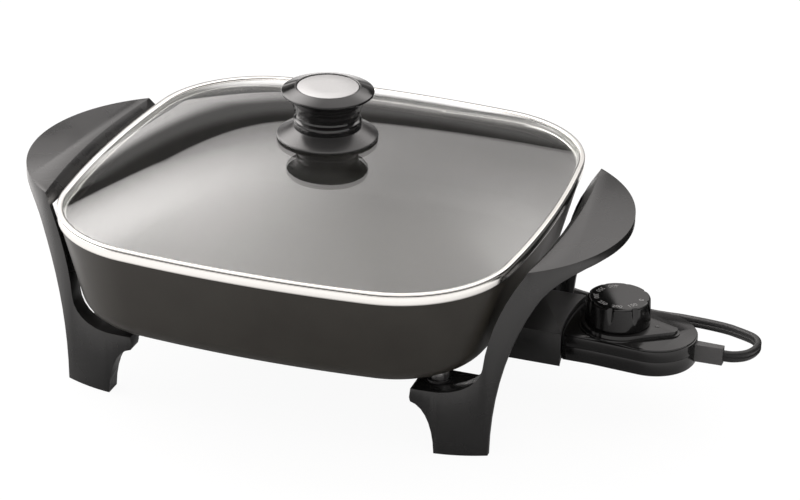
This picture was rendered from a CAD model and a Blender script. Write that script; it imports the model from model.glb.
# %% [markdown]
# # Dressing an electric skillet
# The solids of the skillet come from the construction model: where each piece is,
# how large it is, and which body it moves with. Here each of them gets its finish,
# and the ones whose curves matter to the eye are made again with finer surfaces.
# Blender's lengths are metres. Sizes that come from the construction are written in
# its millimetres, and MM turns them into metres. The pan's axis stands a little to
# the left of the origin, so sizes that belong to the pan are measured from it.

from math import atan2, cos, degrees, exp, pi, radians, sin, sqrt

import bmesh
import bpy
from mathutils import Matrix, Vector


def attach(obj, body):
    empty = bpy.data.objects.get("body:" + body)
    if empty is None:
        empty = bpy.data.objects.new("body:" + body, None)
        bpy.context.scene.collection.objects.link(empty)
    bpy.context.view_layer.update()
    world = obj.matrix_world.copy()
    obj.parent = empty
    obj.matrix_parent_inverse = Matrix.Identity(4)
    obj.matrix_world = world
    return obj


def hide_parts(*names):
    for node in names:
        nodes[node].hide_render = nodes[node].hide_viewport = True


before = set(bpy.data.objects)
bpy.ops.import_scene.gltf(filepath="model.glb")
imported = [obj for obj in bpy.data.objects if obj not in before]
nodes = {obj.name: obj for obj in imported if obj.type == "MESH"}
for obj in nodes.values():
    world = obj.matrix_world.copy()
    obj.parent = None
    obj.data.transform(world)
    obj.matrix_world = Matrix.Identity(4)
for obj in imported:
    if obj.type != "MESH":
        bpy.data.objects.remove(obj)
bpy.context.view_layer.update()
MM = 0.001
AXIS_X = -0.0299
AXIS = Vector((AXIS_X, 0, 0))

# %% [markdown]
# ## The camera
# A camera is placed by the direction it looks back along, a small roll, and a
# lens. The direction is given as an angle around the object and one above it. It
# could also be aimed with a Track To constraint, but that leaves no place for the
# roll. The lens is long and stands far off, which keeps upright edges parallel.

# %% Place the camera
azimuth, elevation, roll = radians(18.41), radians(25.69), radians(1.31)
back = Vector((sin(azimuth) * cos(elevation), -cos(azimuth) * cos(elevation), sin(elevation)))
right = (-back).cross(Vector((0, 0, 1))).normalized()
up = right.cross(-back)
right, up = right * cos(roll) + up * sin(roll), up * cos(roll) - right * sin(roll)
camera_data = bpy.data.cameras.new("camera")
camera_data.sensor_width = 36
camera_data.lens = 130.52
camera_data.clip_start = 0.1
camera_data.clip_end = 30
camera = bpy.data.objects.new("camera", camera_data)
turn = Matrix((right, up, back)).transposed()
camera.matrix_world = Matrix.Translation((0.5083, -1.4766, 0.8257)) @ turn.to_4x4()
bpy.context.scene.collection.objects.link(camera)
bpy.context.scene.camera = camera
bpy.context.scene.view_settings.view_transform = "Standard"
print("camera stands", round(camera.location.length, 3), "m from the origin")

# %% [markdown]
# ## Shader sums as plain expressions
# A finish is a small sum: a colour, plus a little noise, less some wear. Building
# it node by node hides the sum, so one small class wraps a socket and lets Python
# write it. Any other node comes from its `make` method.


# %% Write node trees as sums
class Wire:
    def __init__(self, tree, socket=None):
        self.tree = tree
        self.socket = socket

    def make(self, kind, settings=None, inputs=None, output=0):
        node = self.tree.nodes.new(kind)
        for key, value in (settings or {}).items():
            setattr(node, key, value)
        for key, value in (inputs or {}).items():
            if isinstance(value, Wire):
                self.tree.links.new(value.socket, node.inputs[key])
            else:
                node.inputs[key].default_value = value
        return Wire(self.tree, node.outputs[output])

    def maths(self, operation, first, second=0.0):
        return self.make("ShaderNodeMath", {"operation": operation}, {0: first, 1: second})

    def __add__(self, other):
        return self.maths("ADD", self, other)

    def __radd__(self, other):
        return self.maths("ADD", other, self)

    def __sub__(self, other):
        return self.maths("SUBTRACT", self, other)

    def __rsub__(self, other):
        return self.maths("SUBTRACT", other, self)

    def __mul__(self, other):
        return self.maths("MULTIPLY", self, other)

    def __rmul__(self, other):
        return self.maths("MULTIPLY", other, self)

    def __pow__(self, other):
        return self.maths("POWER", self, other)

    def ramp(self, low, high):
        """Runs smoothly from 0 at the low value to 1 at the high one."""
        return self.make(
            "ShaderNodeMapRange", {"interpolation_type": "SMOOTHSTEP"},
            {"Value": self, "From Min": low, "From Max": high},
        )

    def tint(self, dark, light):
        """Blends from one colour at 0 to another at 1."""
        colours = {"Factor": self, 6: (*dark, 1), 7: (*light, 1)}
        return self.make("ShaderNodeMix", {"data_type": "RGBA"}, colours, 2)


# %% [markdown]
# ## One recipe for every opaque finish
# Moulded plastic, enamel and metal differ in colour, gloss and grain, but the way
# they are written is the same: two sizes of noise in the object's own space. The
# coarse one varies colour and gloss like handling does, and the fine one is the
# surface's grain, which goes to a Bump node. Images could do the same, but noise
# needs no unwrapping, has no seams and stays sharp from any distance.


# %% Make a finish
def new_material(name):
    material = bpy.data.materials.new(name)
    material.use_nodes = True
    tree = material.node_tree
    tree.nodes.clear()
    output = tree.nodes.new("ShaderNodeOutputMaterial")
    shader = tree.nodes.new("ShaderNodeBsdfPrincipled")
    tree.links.new(shader.outputs[0], output.inputs["Surface"])
    return material, Wire(tree), shader


def connect(shader, key, wire):
    wire.tree.links.new(wire.socket, shader.inputs[key])


def noise(wire, place, size, detail=2.0):
    return wire.make("ShaderNodeTexNoise", None, {"Vector": place, "Scale": 1 / size, "Detail": detail})


def finish(name, dark, light, gloss, grain=0.0004, relief=0.00001, metal=0.0, specular=0.5):
    """Two shades, a range of roughness, and the grain's size and depth in metres."""
    material, wire, shader = new_material(name)
    place = wire.make("ShaderNodeTexCoord", output=3)
    coarse = noise(wire, place, 0.03)
    fine = noise(wire, place, grain, 3.0)
    connect(shader, "Base Color", (coarse * 0.6 + fine * 0.4).ramp(0.3, 0.7).tint(dark, light))
    connect(shader, "Roughness", gloss[0] + coarse.ramp(0.35, 0.65) * (gloss[1] - gloss[0]))
    shader.inputs["Metallic"].default_value = metal
    shader.inputs["Specular IOR Level"].default_value = specular
    bump = wire.make("ShaderNodeBump", None, {"Strength": 1.0, "Distance": relief, "Height": fine})
    connect(shader, "Normal", bump)
    return material


def grey(shade):
    return (shade, shade, shade)


# %% [markdown]
# ## Meshes from rings
# Nearly all of this skillet is a stack of rings: the pan and the lid's band follow
# one rounded square, and the knob and the dial are turned. Screw and Bevel
# modifiers on curves could make most of them. One helper that joins a list of equal
# rings of points was chosen, because it serves every piece and each point lies where
# it is meant to. Edges sharper than a given angle stay crisp, the rest are smooth.


# %% Join rings into a surface
def add_piece(name, mesh, material, body, crisp=32):
    mesh.materials.append(material)
    work = bmesh.new()
    work.from_mesh(mesh)
    bmesh.ops.recalc_face_normals(work, faces=work.faces)
    work.to_mesh(mesh)
    work.free()
    mesh.shade_smooth()
    mesh.set_sharp_from_angle(angle=radians(crisp))
    piece = bpy.data.objects.new(name, mesh)
    bpy.context.scene.collection.objects.link(piece)
    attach(piece, body)
    return piece


def ring_mesh(name, rings, closed=False):
    """Joins equal rings of points; an open stack of rings gets a cap on each end."""
    count = len(rings[0])
    faces = []
    spans = len(rings) if closed else len(rings) - 1
    for i in range(spans):
        a, b = i * count, (i + 1) % len(rings) * count
        faces += [(a + k, a + (k + 1) % count, b + (k + 1) % count, b + k) for k in range(count)]
    if not closed:
        faces += [tuple(range(count)), tuple(range((len(rings) - 1) * count, len(rings) * count))]
    mesh = bpy.data.meshes.new(name)
    mesh.from_pydata([p for ring in rings for p in ring], [], faces)
    return mesh


def arc(cx, cy, radius, start, end, steps):
    """Points on an arc, in millimetres and degrees."""
    angles = [radians(start + (end - start) * i / steps) for i in range(steps + 1)]
    return [(cx + radius * cos(a), cy + radius * sin(a)) for a in angles]


# %% [markdown]
# ## The cord
# The flat two-core lead leaves the heat control on edge, turns back towards the
# skillet, and lies behind it in a small coil with its plug. It is one tube along
# one smooth route, so that its length is real: points chosen by hand where it hangs
# and lies free, and a formula for the coil. In the coil the second turn climbs onto
# the first, and both rise a little where the tie passes under them.

# %% Lay out the cord's route
ROUTE = [
    (216.1, 0, 44), (220.1, 0.4, 43.9), (224.2, 2.4, 43.7), (228, 6.2, 43.3), (230.5, 11.8, 42.7),
    (231.6, 18.5, 41.9), (231.3, 25.5, 40.7), (229.3, 33, 39), (225.4, 41.2, 36.6), (220, 49, 33.8),
    (213.3, 57.8, 30.4), (205.4, 67.8, 26.4), (196.5, 77.6, 22), (187.1, 86.9, 17.6), (177.4, 95.5, 13.4),
    (167.5, 103.2, 9.6), (157.6, 109, 6.4), (147.8, 112.9, 4.4), (138.1, 115.5, 3.7), (124.7, 118.4, 3.6),
    (110.7, 121.2, 3.6), (96.1, 124.6, 3.6), (79.7, 130.2, 3.6), (61.1, 136.8, 3.6), (40.6, 143.6, 3.6),
    (21.1, 150.5, 3.6),
]
TAIL = [(-30.9, 169.4, 9.2), (-47.9, 175.6, 7), (-62.9, 181, 6.4)]
LYING_Z = 3.6
COIL_X, COIL_Y, COIL_R, COIL_START = -0.9, 200, 39, -110
COIL_STEP, COIL_POINTS = 15, 49
CLIMB_START, CLIMB_TURN, CLIMB_Z = 290, 44, 7
TIE_ANGLE, TIE_LIFT, TIE_SPREAD = 70, 0.6, 16


def coil_point(turned):
    """A point on the coil after it has turned clockwise by some degrees."""
    angle = COIL_START - turned
    climb = min(1.0, max(0.0, (turned - CLIMB_START) / CLIMB_TURN))
    z = LYING_Z + CLIMB_Z * climb * climb * (3 - 2 * climb)
    from_tie = (TIE_ANGLE - angle + 180) % 360 - 180
    z += TIE_LIFT * exp(-(from_tie / TIE_SPREAD) ** 2)
    return (COIL_X + COIL_R * cos(radians(angle)), COIL_Y + COIL_R * sin(radians(angle)), z)


def smooth_path(points, steps):
    """A curve through the points that has no corner at any of them."""
    out = []
    for i in range(len(points) - 1):
        a, b = Vector(points[max(i - 1, 0)]), Vector(points[i])
        c, d = Vector(points[i + 1]), Vector(points[min(i + 2, len(points) - 1)])
        for k in range(steps):
            t = k / steps
            out.append(0.5 * (2 * b + t * (c - a) + t * t * (2 * a - 5 * b + 4 * c - d)
                              + t ** 3 * (3 * b - a - 3 * c + d)))
    return out + [Vector(points[-1])]


lead_points = ROUTE + [coil_point(COIL_STEP * i) for i in range(COIL_POINTS)] + TAIL
lead_path = [p * MM for p in smooth_path(lead_points, 4)]
lead_length = sum((b - a).length for a, b in zip(lead_path, lead_path[1:]))
print("cord length", round(lead_length, 4), "m")

# %% [markdown]
# The lead is two round cores side by side with a groove between them. A bevelled
# curve would twist this section where the route turns. So each ring is set across
# the route by itself, with one side always level. Half of the outline is written
# down and the rest is its mirror image.

# %% Sweep the cord's section along the route
lead_rubber = finish("lead_rubber", grey(0.007), grey(0.010), (0.36, 0.45), 0.0005, 0.00001, specular=0.3)
half_section = [(0, 1.5), (0.35, 1.72), (0.8, 1.9), (1.7, 1.9), (2.4, 1.72), (2.95, 1.32), (3.33, 0.75)]
EDGE_U = 3.5
section = [(-x, u) for u, x in reversed(half_section)] + [(-x, -u) for u, x in half_section[1:]]
section += [(0, -EDGE_U)] + [(x, -u) for u, x in reversed(half_section)]
section += [(x, u) for u, x in half_section[1:]] + [(0, EDGE_U)]


def tube_mesh(name, path, section):
    rings = []
    for i, p in enumerate(path):
        along = (path[min(i + 1, len(path) - 1)] - path[max(i - 1, 0)]).normalized()
        across = Vector((-along.y, along.x, 0)).normalized()
        upward = along.cross(across)
        rings.append([p + across * (x * MM) + upward * (u * MM) for x, u in section])
    return ring_mesh(name, rings)


lead = add_piece("cord_lead", tube_mesh("cord_lead", lead_path, section), lead_rubber, "control", 50)
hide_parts("cord", "cord_coil", "cord_tail")
print("faces in the cord:", len(lead.data.polygons))

# %% [markdown]
# ## The plug
# The plug is a moulded grip that is narrow at the lead and wide at the blades. A
# smoothed cube would come close, but a stack of rounded rectangles gives its real
# width everywhere. Each has its distance from the lead, its width, its height and
# its corner radius. The rubber is a little greyer and duller than the lead.


# %% Make the plug
def rounded_box(width, height, radius, steps=5):
    """Outline of a rounded rectangle, in millimetres."""
    x, y = width / 2 - radius, height / 2 - radius
    points = []
    for cx, cy, start in ((x, y, 0), (-x, y, 90), (-x, -y, 180), (x, -y, 270)):
        points += arc(cx, cy, radius, start, start + 90, steps)
    return points


relief_rubber = finish("relief_rubber", grey(0.042), grey(0.052), (0.6, 0.7), 0.0006, 0.00002)
PLUG_ANGLE = 160
plug_frame = Matrix.Translation(lead_path[-1]) @ Matrix.Rotation(radians(PLUG_ANGLE), 4, "Z")
plug_sections = [
    (0, 6.5, 7.2, 2.0), (0.6, 7.6, 7.8, 2.4), (4, 8, 8, 2.6), (8, 10.5, 8.8, 3), (10, 16, 10.6, 3.5),
    (12.5, 20.2, 12, 3.8), (16, 21.6, 12.5, 3.8), (21, 21.9, 12.6, 3.6), (23.4, 21.6, 12.3, 3.4),
    (24, 20.6, 11.3, 3),
]
plug_rings = []
for x, width, height, radius in plug_sections:
    ring = [Vector((x, y, z)) * MM for y, z in rounded_box(width, height, radius)]
    plug_rings.append([plug_frame @ p for p in ring])
plug_body = add_piece("plug_grip", ring_mesh("plug_grip", plug_rings), relief_rubber, "control", 40)
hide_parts("plug")
print("sections in the plug:", len(plug_sections))

# %% [markdown]
# A thin strip of black plastic holds the coil's turns together. It is a band with
# square ends: an outer and an inner rounded rectangle, one pair for each side. The
# same satin plastic is used again for the legs.

# %% Tie the coil
satin_black = finish("satin_black", grey(0.010), grey(0.013), (0.24, 0.31), 0.0006, 0.000005, specular=0.46)
TIE_W, TIE_H, TIE_THICK, TIE_HALF, TIE_Z = 4.7, 15.1, 0.4, 2, 7.7
tie_place = Matrix.Translation((COIL_X * MM, COIL_Y * MM, 0))
tie_turn = tie_place @ Matrix.Rotation(radians(TIE_ANGLE), 4, "Z")
outer = [(x + COIL_R, z + TIE_Z) for x, z in rounded_box(TIE_W, TIE_H, 1.6)]
inner = [(x + COIL_R, z + TIE_Z) for x, z in rounded_box(TIE_W - 2 * TIE_THICK, TIE_H - 2 * TIE_THICK, 1.3)]
tie_rings = []
for y, loop in ((-TIE_HALF, outer), (TIE_HALF, outer), (TIE_HALF, inner), (-TIE_HALF, inner)):
    tie_rings.append([tie_turn @ (Vector((x, y, z)) * MM) for x, z in loop])
tie = add_piece("cord_tie", ring_mesh("cord_tie", tie_rings, closed=True), satin_black, "control")
print("turns in the coil:", COIL_STEP * (COIL_POINTS - 1) / 360)

# %% [markdown]
# ## The pan's outline
# Seen from above, the pan is a rounded square: four gently bowed sides and four
# corners, each an arc that runs into the next. A scaled copy of it would have
# corners that are too tight or too wide, so every point keeps its normal, and the
# rings of the pan and the lid move in or out along those.

# %% Draw the rounded square
HALF, SIDE_R, CORNER_R = 140.0, 697.0, 70.0
BOW = SIDE_R - HALF
CORNER_C = (sqrt(2 * (SIDE_R - CORNER_R) ** 2 - BOW ** 2) - BOW) / 2
SIDE_ANGLE = degrees(atan2(CORNER_C, CORNER_C + BOW))
SIDE_STEPS, CORNER_STEPS = 26, 34
side_and_corner = [
    ((-BOW, 0), SIDE_R, -SIDE_ANGLE, SIDE_ANGLE, SIDE_STEPS),
    ((CORNER_C, CORNER_C), CORNER_R, SIDE_ANGLE, 90 - SIDE_ANGLE, CORNER_STEPS),
]
outline = []
for quarter in range(4):
    for (cx, cy), radius, start, end, steps in side_and_corner:
        for i in range(steps):
            a = radians(start + (end - start) * i / steps)
            x, y = cx + radius * cos(a), cy + radius * sin(a)
            normal = Vector((cos(a), sin(a), 0))
            place = Vector((x, y, 0))
            spin = Matrix.Rotation(radians(90 * quarter), 3, "Z")
            outline.append((spin @ place, spin @ normal))


def outline_ring(offset, z):
    """The outline moved outward, at a height; millimetres in, metres out."""
    return [(p + n * offset + Vector((0, 0, z))) * MM + AXIS for p, n in outline]


def swept(name, profile, closed=True):
    return ring_mesh(name, [outline_ring(x, z) for x, z in profile], closed=closed)


print("outline points", len(outline))

# %% [markdown]
# ## The pan
# The pan is a casting with an even wall. Its outside is a warm charcoal coating and
# its cooking surface is smoother and greyer. The rim is a small round edge. It could
# be a sheet with a Solidify modifier, but one profile that runs down the outside and
# up the inside gives the floor, the wall and the rim their own shapes.

# %% Shape the pan
coating = finish(
    "pan_coating", (0.018, 0.016, 0.013), (0.023, 0.021, 0.017), (0.3, 0.38), 0.0007, 0.000006, specular=0.3
)
lining = finish(
    "pan_lining", (0.022, 0.021, 0.019), (0.024, 0.0225, 0.020), (0.42, 0.46), 0.002, 0.000001, specular=0.15
)
RIM_Z, BASE_Z, BASE_R, WALL, SLOPE, FLOOR_IN = 110.0, 51.5, 17.0, 3.0, 14.5, 58
BEND_Z = BASE_Z + BASE_R
BEND_IN = (BASE_R + (RIM_Z - BEND_Z) * sin(radians(SLOPE))) / cos(radians(SLOPE))
rim_in = WALL / cos(radians(SLOPE))
outside = [(-FLOOR_IN, BASE_Z)] + arc(-BEND_IN, BEND_Z, BASE_R, -90, -SLOPE, 14)
outside += [(-0.12, RIM_Z - 0.6), (-0.35, RIM_Z - 0.18), (-0.8, RIM_Z)]
inside = [(-rim_in + 0.6, RIM_Z), (-rim_in + 0.1, RIM_Z - 0.25), (-rim_in - 0.1, RIM_Z - 0.8)]
inside += arc(-BEND_IN, BEND_Z, BASE_R - WALL, -SLOPE, -90, 14) + [(-FLOOR_IN, BASE_Z + WALL)]
pan_mesh = swept("pan_shell", outside + inside, closed=False)
pan = add_piece("pan_shell", pan_mesh, coating, "base", 40)
pan.data.materials.append(lining)
first_inside = len(outline) * (len(outside) - 1)
for face in pan.data.polygons[first_inside:]:
    face.material_index = 1
underside = pan.data.polygons[len(pan.data.polygons) - 2]
underside.material_index = 0
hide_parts("pan")
print("faces of the lining:", len(pan.data.polygons) - first_inside - 1)

# %% [markdown]
# Under the pan are a ridge that holds the heating element, bosses for the screws,
# and a well for the sensor rod. Cutting them into the pan's mesh with a Boolean
# would spoil its smooth shading, so each is a closed piece of its own, whose root
# reaches a little way into the pan's floor.


# %% Shape what is cast under the pan
def turned_mesh(name, profile, steps=128, x=0.0, y=0.0):
    """Turns a closed profile of (radius, height) in millimetres about an upright axis."""
    rings = []
    for r, z in profile:
        rings.append([
            Vector((x + r * cos(2 * pi * k / steps), y + r * sin(2 * pi * k / steps), z)) * MM + AXIS
            for k in range(steps)
        ])
    return ring_mesh(name, rings, closed=True)


def box_mesh(name, low, high, round_by):
    """A box with rounded edges, in millimetres from the pan's axis."""
    mesh = bpy.data.meshes.new(name)
    work = bmesh.new()
    bmesh.ops.create_cube(work, size=1)
    for v in work.verts:
        for i in range(3):
            v.co[i] = (low[i] if v.co[i] < 0 else high[i]) * MM
        v.co.x += AXIS_X
    edges = work.edges[:]
    bmesh.ops.bevel(work, geom=edges, offset=round_by * MM, segments=3, profile=0.5, affect="EDGES")
    work.to_mesh(mesh)
    work.free()
    return mesh


ROOT_Z = BASE_Z + 0.2
BOSS_X, BOSS_Y, GUARD_BOSS_X, GUARD_BOSS_Y = 98.5, 78.5, 103, 21
ridge = [(79, ROOT_Z), (79.2, 43), (80, 42.1), (81.3, 42), (81.4, 48.6), (88.6, 48.6), (88.7, 42), (90, 42.1),
         (90.8, 43), (91, ROOT_Z)]
leg_boss = [(2.6, ROOT_Z), (2.6, 48.5), (5.9, 48.5), (6.5, 49.1), (6.5, ROOT_Z)]
guard_boss = [(2.1, ROOT_Z), (2.1, 46.5), (4, 46.5), (4.5, 47), (4.5, ROOT_Z)]
under = [("element_ridge", turned_mesh("element_ridge", ridge))]
for side in (-1, 1):
    for end in (-1, 1):
        name = f"pan_boss_{'left' if side < 0 else 'right'}_{'front' if end < 0 else 'back'}"
        under.append((name, turned_mesh(name, leg_boss, 40, side * BOSS_X, end * BOSS_Y)))
    name = f"guard_boss_{'front' if side < 0 else 'back'}"
    under.append((name, turned_mesh(name, guard_boss, 32, GUARD_BOSS_X, side * GUARD_BOSS_Y)))
under.append(("sensor_well", box_mesh("sensor_well", (70, -6.5, 39.6), (108, 6.5, ROOT_Z), 1.5)))
for name, mesh in under:
    piece = add_piece(name, mesh, coating, "base")
    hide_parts("pan")
print("pieces under the pan:", len(under))

# %% [markdown]
# ## The lid's band
# A strip of stainless steel is rolled around the edge of the glass. It has a bead on
# top, a shallow groove under the bead, an upright face, and a skirt that drops
# inside the pan. Rolled metal has the same section everywhere, so it is one closed
# profile swept around the outline. Dirt and shade in the groove are a narrow dark
# strip, because light alone wouldn't show a groove this shallow.

# %% Roll the band
bright_steel = finish(
    "bright_steel", (0.70, 0.69, 0.665), (0.76, 0.75, 0.725), (0.13, 0.2), 0.0005, 0.000002, metal=1.0
)
seam_black = finish("seam_black", grey(0.01), grey(0.014), (0.6, 0.7), 0.0004, 0.000002, specular=0.1)
FLANGE_Z, BAND_TOP = 110.3, 117.4
band_profile = [
    (0.35, FLANGE_Z + 0.05), (0.95, FLANGE_Z), (1.15, FLANGE_Z + 0.25), (1.22, FLANGE_Z + 1),
    (1.25, 113.2), (1.22, 115.4), (1.1, 115.72), (0.84, 115.86), (0.78, 116.02), (0.84, 116.2),
    (1.08, 116.34), (1.24, 116.62), (1.22, 116.95), (0.98, 117.25), (0.55, BAND_TOP), (-1.2, 117.36),
    (-1.9, 117.24), (-2.25, 116.98), (-2.2, 116.72), (-1.6, 116.7), (0.2, 116.74), (0.38, 116.4),
    (0.4, 111.2), (0.2, 110.92), (-4.55, 110.9), (-4.98, 110.7), (-5.2, 110.2), (-5.5, 105.7),
    (-5.2, 105.55), (-4.9, 105.7), (-4.62, 110.1), (-4.4, 110.32),
]
band = add_piece("band_rolled", swept("band_rolled", band_profile), bright_steel, "lid", 60)
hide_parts("lid_band")
seam_profile = [(0.3, 115.66), (0.98, 115.66), (1.06, 115.86), (1.06, 116.14), (0.98, 116.36), (0.3, 116.36)]
seam = add_piece("band_seam", swept("band_seam", seam_profile), seam_black, "lid", 60)
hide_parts("lid_band")
print("the band stands", round(BAND_TOP - RIM_Z, 1), "mm above the pan")

# %% [markdown]
# ## The glass
# The lid is one pane of tempered glass, four millimetres thick. It is a shallow
# sphere in the middle and eases into a level edge all round. A sphere cut to a
# square would meet the band at uneven heights, so the rings here grow from the hole
# in the middle to the outline, and a formula gives their height. The inner face is
# made too, since light bends at both.

# %% Blow the dome
GLASS_Z, GLASS, RISE, DOME_R, HOLE_R = 112.1, 4.0, 29.0, 400.0, 4.5
DOME_STEPS, EDGE_GAP = 48, 0.5
APEX_Z = GLASS_Z + GLASS + RISE


def dome_height(r, edge):
    return APEX_Z - r * r / (2 * DOME_R) + (edge * edge / (2 * DOME_R) - RISE) * (r / edge) ** 4


def dome_ring(step, drop):
    ring = []
    for p, _ in outline:
        edge = p.length - EDGE_GAP
        r = HOLE_R + (edge - HOLE_R) * step / DOME_STEPS
        out = p.normalized() * r
        ring.append(Vector((out.x, out.y, dome_height(r, edge) - drop)) * MM + AXIS)
    return ring


dome_rings = [dome_ring(i, 0) for i in range(DOME_STEPS + 1)]
dome_rings += [dome_ring(i, GLASS) for i in range(DOME_STEPS, -1, -1)]
glass_mesh = ring_mesh("glass_pane", dome_rings, closed=True)
print("the dome's top is at", round(APEX_Z, 1), "mm")

# %% [markdown]
# Glass in use is never quite clean, so a faint film changes its gloss and its tint.
# Real light through glass is slow to trace and noisy. To shadow rays the glass is
# therefore almost open, and the pan under it stays as bright as it should be.

# %% Make clear glass
clear_glass, wire, shader = new_material("clear_glass")
place = wire.make("ShaderNodeTexCoord", output=3)
shader.inputs["Transmission Weight"].default_value = 1.0
shader.inputs["IOR"].default_value = 1.5
film = noise(wire, place, 0.05)
connect(shader, "Base Color", film.ramp(0.2, 0.8).tint((0.94, 0.96, 0.95), (0.97, 0.98, 0.975)))
connect(shader, "Roughness", film.ramp(0.3, 0.8) * 0.012)
shadow_ray = wire.make("ShaderNodeLightPath", output=1)
connect(shader, "Alpha", 1 - shadow_ray * 0.9)
glass = add_piece("glass_pane", glass_mesh, clear_glass, "lid", 40)
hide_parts("lid_glass")
print("faces in the glass:", len(glass_mesh.polygons))

# %% [markdown]
# ## The knob
# The knob is moulded from black plastic in two round parts: a wide skirt that keeps
# fingers off the hot glass, and a grip with a waist. Both are profiles turned about
# the pan's axis, like work on a lathe. Many sides are used, because their glossy
# edges draw thin lines of light that would show corners. The grip is polished and
# the skirt is duller.

# %% Turn the knob
knob_black = finish("knob_black", grey(0.004), grey(0.006), (0.07, 0.12), 0.0006, 0.000002)
skirt_black = finish("skirt_black", grey(0.018), grey(0.023), (0.2, 0.26), 0.0006, 0.000004)
KNOB_STEPS, KNOB_CRISP, DISC_Z = 160, 38, 174.4
skirt = [
    (3, 146.1), (12, 146.1), (13, 147.6), (27.8, 145.4), (28.9, 144.5), (29.5, 144.35), (30, 144.5),
    (30.2, 144.9), (30.15, 145.4), (29.9, 145.75), (29.3, 146.1), (20.9, 150.75), (20.5, 150.95),
    (20.2, 151), (3, 151),
]
piece = add_piece("knob_skirt", turned_mesh("knob_skirt", skirt, KNOB_STEPS), skirt_black, "lid", KNOB_CRISP)
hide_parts("knob_guard")
grip = [
    (2.05, 165.1), (2.05, 151.1), (19.7, 151.1), (20.1, 151.3), (20.2, 151.8), (20.2, 154.9), (20.0, 155.6),
    (19.3, 156.1), (18.7, 156.4), (18.55, 156.9), (18.55, 159.3), (18.7, 159.9), (19.5, 160.3),
    (19.8, 160.8), (19.85, 162.3), (20.2, 163.2), (20.7, 163.9), (20.95, 164.8), (21.2, 165.6),
    (22.2, 167.2), (23.6, 168.8), (25.4, 170.2), (26.5, 170.9), (27.2, 171.5), (27.5, 172.1), (27.4, 172.7),
    (27.0, 173.1), (20.2, 175.1), (19.8, 175.35), (19.4, 175.55), (19.0, 175.5), (18.7, 175.2),
    (18.32, DISC_Z), (0.01, DISC_Z), (0.01, 165.1),
]
piece = add_piece("knob_grip", turned_mesh("knob_grip", grip, KNOB_STEPS), knob_black, "lid", KNOB_CRISP)
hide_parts("knob")
print("points in the knob's outlines:", len(skirt) + len(grip))

# %% [markdown]
# A plain metal disc is set into the top of the grip. Brushing leaves fine parallel
# scratches: noise that is squeezed fourteen times in one direction gives them to the
# colour, the gloss and the bump at once, so that the three agree.

# %% Finish the metal disc
disc_metal, wire, shader = new_material("disc_metal")
place = wire.make("ShaderNodeTexCoord", output=3)
streak = wire.make("ShaderNodeVectorMath", {"operation": "MULTIPLY"}, {0: place, 1: (1.0, 14.0, 1.0)})
brushing = noise(wire, streak, 0.0012, 4.0)
connect(shader, "Base Color", brushing.ramp(0.3, 0.7).tint(grey(0.34), grey(0.41)))
connect(shader, "Roughness", 0.38 + brushing * 0.12)
shader.inputs["Metallic"].default_value = 0.55
connect(shader, "Normal", wire.make("ShaderNodeBump", None, {"Distance": 0.000004, "Height": brushing}))
disc = [
    (0.01, DISC_Z), (18.2, DISC_Z), (18.2, 174.9), (18.05, 175.15), (17.7, 175.3), (9, 175.42),
    (0.01, 175.45),
]
piece = add_piece("knob_disc", turned_mesh("knob_disc", disc), disc_metal, "lid")
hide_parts("knob_badge")
print("nodes in the disc's finish:", len(disc_metal.node_tree.nodes))

# %% [markdown]
# ## The dial
# The dial's side leans in a little, rolls over into a flat top, and has eight finger
# grooves. Each groove is what a leaning round bar would cut. Eight Boolean cuts
# would leave ragged faces on the rolled edge, so the cut is worked out: the radius
# at any height and angle is the smaller of the turned one and the bar's.

# %% Cut the dial
gloss_black = finish("gloss_black", grey(0.004), grey(0.006), (0.11, 0.17), 0.0009, 0.000003, specular=0.36)
DIAL_X, DIAL_Z, DIAL_R, DIAL_TOP = 182.0, 56.0, 18.5, 15
GROOVE_TURN, BAR_R, BAR_OUT, BAR_LEAN = 45, 2.5, 3.95, 0.1944
FLAT_R, FOOT_R, FOOT_Z = 14, 19.2, 0.8
LEAN_IN, LEAN_H, LEAN_STEPS = 0.7, 12.7, 12
dial_profile = [(19.1, 0.02), (FOOT_R, 0.3), (FOOT_R, FOOT_Z)]
for i in range(1, LEAN_STEPS + 1):
    dial_profile.append((FOOT_R - LEAN_IN * i / LEAN_STEPS, FOOT_Z + LEAN_H * i / LEAN_STEPS))
dial_profile += arc(17.05, 13.55, 1.45, 8, 90, 9) + [(r, DIAL_TOP) for r in (16.6, 12, 6, 0.01)]


def grooved(r, z, angle):
    """The dial's radius at a height and angle, in millimetres and degrees."""
    aside = sin(radians((angle + GROOVE_TURN / 2) % GROOVE_TURN - GROOVE_TURN / 2))
    bar = DIAL_R + BAR_OUT - z * BAR_LEAN
    if r < FLAT_R or abs(bar * aside) >= BAR_R:
        return r
    cut = bar * sqrt(1 - aside ** 2) - sqrt(BAR_R ** 2 - (bar * aside) ** 2)
    return min(r, cut)


def on_dial(x, y, z):
    return Vector((DIAL_X + x, y, DIAL_Z + z)) * MM + AXIS


dial_rings = []
for r, z in dial_profile:
    ring = []
    for k in range(360):
        cut = grooved(r, z, k)
        ring.append(on_dial(cut * cos(radians(k)), cut * sin(radians(k)), z))
    dial_rings.append(ring)
piece = add_piece("dial_cap", ring_mesh("dial_cap", dial_rings), gloss_black, "dial", 24)
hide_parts("dial")
print("finger grooves:", 360 // GROOVE_TURN)

# %% [markdown]
# The dial's numbers are printed in a ring and read from the outside. Each starts as
# a text object, becomes a flat mesh and lies a hair above the dial's top. An image
# would blur when seen from near, and these don't.

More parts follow.
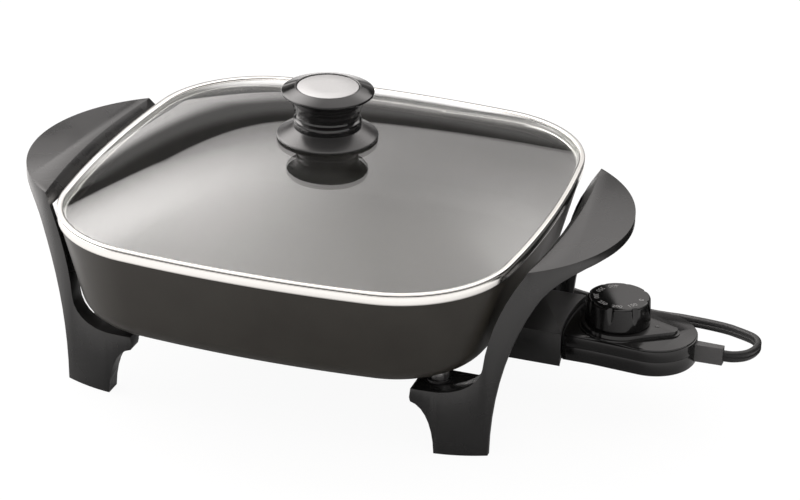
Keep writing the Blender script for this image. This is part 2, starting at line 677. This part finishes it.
# %% Number the dial
NUMBER_SIZE, NUMBER_BOLD = 0.0042, 0.00004
NUMBER_R, NUMBER_TURN, PRINT_Z = 13.5, 40, DIAL_TOP + 0.02
numbers = bmesh.new()
for i, label in enumerate(("0", "150", "200", "250", "300", "350", "400")):
    curve = bpy.data.curves.new("number", "FONT")
    curve.body = label
    curve.size = NUMBER_SIZE
    curve.align_x = "CENTER"
    curve.align_y = "CENTER"
    curve.offset = NUMBER_BOLD
    curve.resolution_u = 4
    holder = bpy.data.objects.new("number", curve)
    flat = bpy.data.meshes.new_from_object(holder)
    turned = radians(-NUMBER_TURN * i)
    place = on_dial(NUMBER_R * cos(turned), NUMBER_R * sin(turned), PRINT_Z)
    flat.transform(Matrix.Translation(place) @ Matrix.Rotation(turned + radians(90), 4, "Z"))
    numbers.from_mesh(flat)
    bpy.data.objects.remove(holder)
    bpy.data.curves.remove(curve)
    bpy.data.meshes.remove(flat)
numbers_mesh = bpy.data.meshes.new("dial_numbers")
numbers.to_mesh(numbers_mesh)
numbers.free()
print_white = finish("print_white", grey(0.3), grey(0.4), (0.5, 0.6), relief=0.000002)
piece = add_piece("dial_numbers", numbers_mesh, print_white, "dial")
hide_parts("dial")
print("faces in the numbers:", len(numbers_mesh.polygons))

# %% [markdown]
# ## Solids that keep their shape
# A good many pieces are right as they are and only need a finish and crisp, slightly
# rounded edges. Their meshes aren't touched, because the construction model owns
# them: modifiers join their corners, clear lines from their flat faces, and take
# the knife edge off, since no moulding or pressing has a perfectly sharp one.


# %% Finish the carried-over solids
def soften(node, material, bevel):
    piece = nodes[node]
    mesh = piece.data
    mesh.materials.clear()
    mesh.materials.append(material)
    for name in ("custom_normal", "sharp_face"):
        if name in mesh.attributes:
            mesh.attributes.remove(mesh.attributes[name])
    weld = piece.modifiers.new("join", "WELD")
    weld.merge_threshold = 0.00002
    flat = piece.modifiers.new("flat", "DECIMATE")
    flat.decimate_type = "DISSOLVE"
    flat.angle_limit = radians(0.6)
    edge = piece.modifiers.new("edge", "BEVEL")
    edge.width = bevel * MM
    edge.segments = 2
    edge.limit_method = "ANGLE"
    edge.angle_limit = radians(30)
    mesh.shade_smooth()


for node in ("handle_left", "handle_right"):
    soften(node, satin_black, 0.7)
for node in ("case_upper", "case_lower"):
    soften(node, gloss_black, 0.5)

# %% [markdown]
# The socket's guard is duller than the case beside it. The element, its pins and the
# parts in the control each have the metal or ceramic that such parts are made of,
# although most of them only show when the skillet is taken apart.

# %% Finish the guard and the parts inside
guard_black = finish("guard_black", grey(0.010), grey(0.013), (0.34, 0.42), 0.0007, 0.000006, specular=0.35)
soften("socket_guard", guard_black, 0.5)
plated = finish("plated_steel", grey(0.55), grey(0.68), (0.25, 0.36), 0.0003, 0.000006, metal=1.0)
dull_sheath = finish("element_sheath", (0.25, 0.23, 0.21), (0.36, 0.33, 0.30), (0.4, 0.55), metal=1.0)
brass = finish("brass", (0.62, 0.42, 0.14), (0.74, 0.53, 0.22), (0.22, 0.34), 0.0003, 0.000004, metal=1.0)
bimetal = finish("bimetal", (0.50, 0.34, 0.2), (0.6, 0.42, 0.27), (0.3, 0.4), 0.0003, 0.000004, metal=1.0)
ceramic = finish("ceramic", (0.72, 0.69, 0.6), (0.8, 0.77, 0.69), (0.2, 0.3), 0.0005, 0.000004)
silicone = finish("silicone", (0.55, 0.55, 0.53), (0.64, 0.64, 0.61), (0.4, 0.5), 0.0005, 0.000006)
phenolic = finish("phenolic", (0.035, 0.028, 0.024), (0.05, 0.04, 0.034), (0.45, 0.6), relief=0.00002)
small_steel = ("knob_washer", "thermostat", "dial_shaft", "sensor_rod")
for node in nodes:
    if "screw" in node or "spacer" in node or node in small_steel:
        soften(node, plated, 0.25)
for node, material in (
    ("heating_element", dull_sheath), ("insulator_front", ceramic), ("insulator_back", ceramic),
    ("pin_front", bright_steel), ("pin_back", bright_steel), ("clip_front", brass), ("clip_back", brass),
    ("plug_blade_a", brass), ("plug_blade_b", brass), ("bimetal_arm", bimetal), ("lid_gasket", silicone),
    ("knob_seal", silicone), ("contact_block", phenolic), ("index_mark", satin_black),
    ("strain_relief", relief_rubber),
):
    soften(node, material, 0.2)
print("solids that keep their shape:", sum("edge" in node.modifiers for node in nodes.values()))

# %% [markdown]
# ## Floor and light
# The skillet stands on a plain white floor in a bright studio. A lit white floor is
# never even, and more light on it would also fall on the skillet. So the floor
# glows by itself: almost fully to the camera, in part in mirror images, and not at
# all otherwise. The rest of it is plain matte white, which keeps a soft shadow. In
# mirror images it is white in front, and darker close to the skillet, far behind
# it, and where a black card would lie behind the heat control.

# %% Lay the floor
FLOOR, FLOOR_SHADE, CAMERA_GLOW, MIRROR_GLOW = 12, 0.8, 0.94, 0.35
mesh = bpy.data.meshes.new("floor")
corners = [(FLOOR * x, FLOOR * y, 0) for x, y in ((-1, -1), (1, -1), (1, 1), (-1, 1))]
mesh.from_pydata(corners, [], [(0, 1, 2, 3)])
floor = bpy.data.objects.new("floor", mesh)
bpy.context.scene.collection.objects.link(floor)
floor_white = bpy.data.materials.new("floor_white")
floor_white.use_nodes = True
tree = floor_white.node_tree
tree.nodes.clear()
wire = Wire(tree)
is_camera, is_glossy, is_through = (wire.make("ShaderNodeLightPath", output=i) for i in (0, 3, 6))
is_mirrored = wire.maths("MAXIMUM", is_glossy, is_through)
point = wire.make("ShaderNodeNewGeometry")
spot_x, spot_y = (wire.make("ShaderNodeSeparateXYZ", None, {0: point}, i) for i in (0, 1))
from_middle = wire.make("ShaderNodeVectorMath", {"operation": "LENGTH"}, {0: point}, 1)
near = (1 - from_middle.ramp(0.15, 0.4)) * 0.62
far = spot_y.ramp(0.6, 1.6) * 0.85
card = spot_x.ramp(0.12, 0.17) * spot_y.ramp(0.065, 0.09)
flags = wire.maths("MAXIMUM", wire.maths("MAXIMUM", near, far), card)
shine = is_camera + (1 - is_camera) * (1 - flags)
white = FLOOR_SHADE * (1 - is_mirrored * flags)
matte = wire.make("ShaderNodeBsdfDiffuse", None, {"Color": white})
glow = wire.make("ShaderNodeEmission", None, {"Color": shine, "Strength": 1.0})
share = is_camera * CAMERA_GLOW + is_mirrored * MIRROR_GLOW
mixed = wire.make("ShaderNodeMixShader", None, {0: share, 1: matte, 2: glow})
output = tree.nodes.new("ShaderNodeOutputMaterial")
tree.links.new(mixed.socket, output.inputs["Surface"])
mesh.materials.append(floor_white)
print("nodes in the floor:", len(tree.nodes))

# %% [markdown]
# The light is a sky of soft panels. Area lamps could stand for them, but glass and
# metal mirror their hard shapes, while a sky can fade from one to the next. Behind
# the skillet it is dark low down, and a bright panel with a crisp lower edge hangs
# above, growing brighter upwards. Two soft patches on it, the strong one high on
# the left, give the glow on the glass, and an upright strip far on the left draws
# thin lines along rounded edges. In a direction, z is 0 at the horizon and 1
# overhead. Each ramp turns something on between two such values, and a factor after
# it says how bright, where 1 is white.

# %% Light the room
world = bpy.data.worlds.new("studio")
bpy.context.scene.world = world
world.use_nodes = True
tree = world.node_tree
tree.nodes.clear()
wire = Wire(tree)
way = wire.make("ShaderNodeTexCoord", output=0)
toward_x, toward_y, toward_z = (wire.make("ShaderNodeSeparateXYZ", None, {0: way}, i) for i in (0, 1, 2))
behind = toward_y.ramp(-0.1, 0.25)
leftward = 0 - toward_x
edge = 0.255 + leftward.ramp(0.05, 0.25) * 0.035 + leftward.ramp(0.4, 0.6) * 0.07
edge = edge + toward_x.ramp(-0.02, 0.16) * 0.15
above_edge = (toward_z - edge).ramp(-0.006, 0.006)
left_patch = leftward.ramp(0.14, 0.66) * toward_z.ramp(0.3, 0.7) * 4.6
patch_way = Vector((0.25, 0.78, 0.57)).normalized()
to_patch = wire.make("ShaderNodeVectorMath", {"operation": "DOT_PRODUCT"}, {0: way, 1: patch_way}, 1)
right_patch = wire.maths("MAXIMUM", to_patch, 0.0) ** 50 * 1.9
panel = above_edge * (0.55 + toward_z.ramp(0.1, 0.95) * 1.55 + left_patch + right_patch)
low = 0.3 + leftward.ramp(0.3, 0.55) * 0.6
dim = low * (1 - toward_z.ramp(0.03, 0.12)) + 0.2 - toward_z.ramp(0.16, 0.25) * 0.15
front = 0.2 + toward_z.ramp(0.2, 0.9) * 1.6
left_strip = leftward.ramp(0.68, 0.74) * toward_z.ramp(0.0, 0.05) * 3.0
sky = behind * (dim + panel) + (1 - behind) * front + left_strip
is_camera = wire.make("ShaderNodeLightPath", output=0)
strength = sky * (1 - is_camera) + is_camera
warmth = is_camera.tint((1, 0.965, 0.95), (1, 1, 1))
background = wire.make("ShaderNodeBackground", None, {"Color": warmth, "Strength": strength})
output = tree.nodes.new("ShaderNodeOutputWorld")
tree.links.new(background.socket, output.inputs["Surface"])
print("light in the sky:", len(tree.nodes), "nodes")
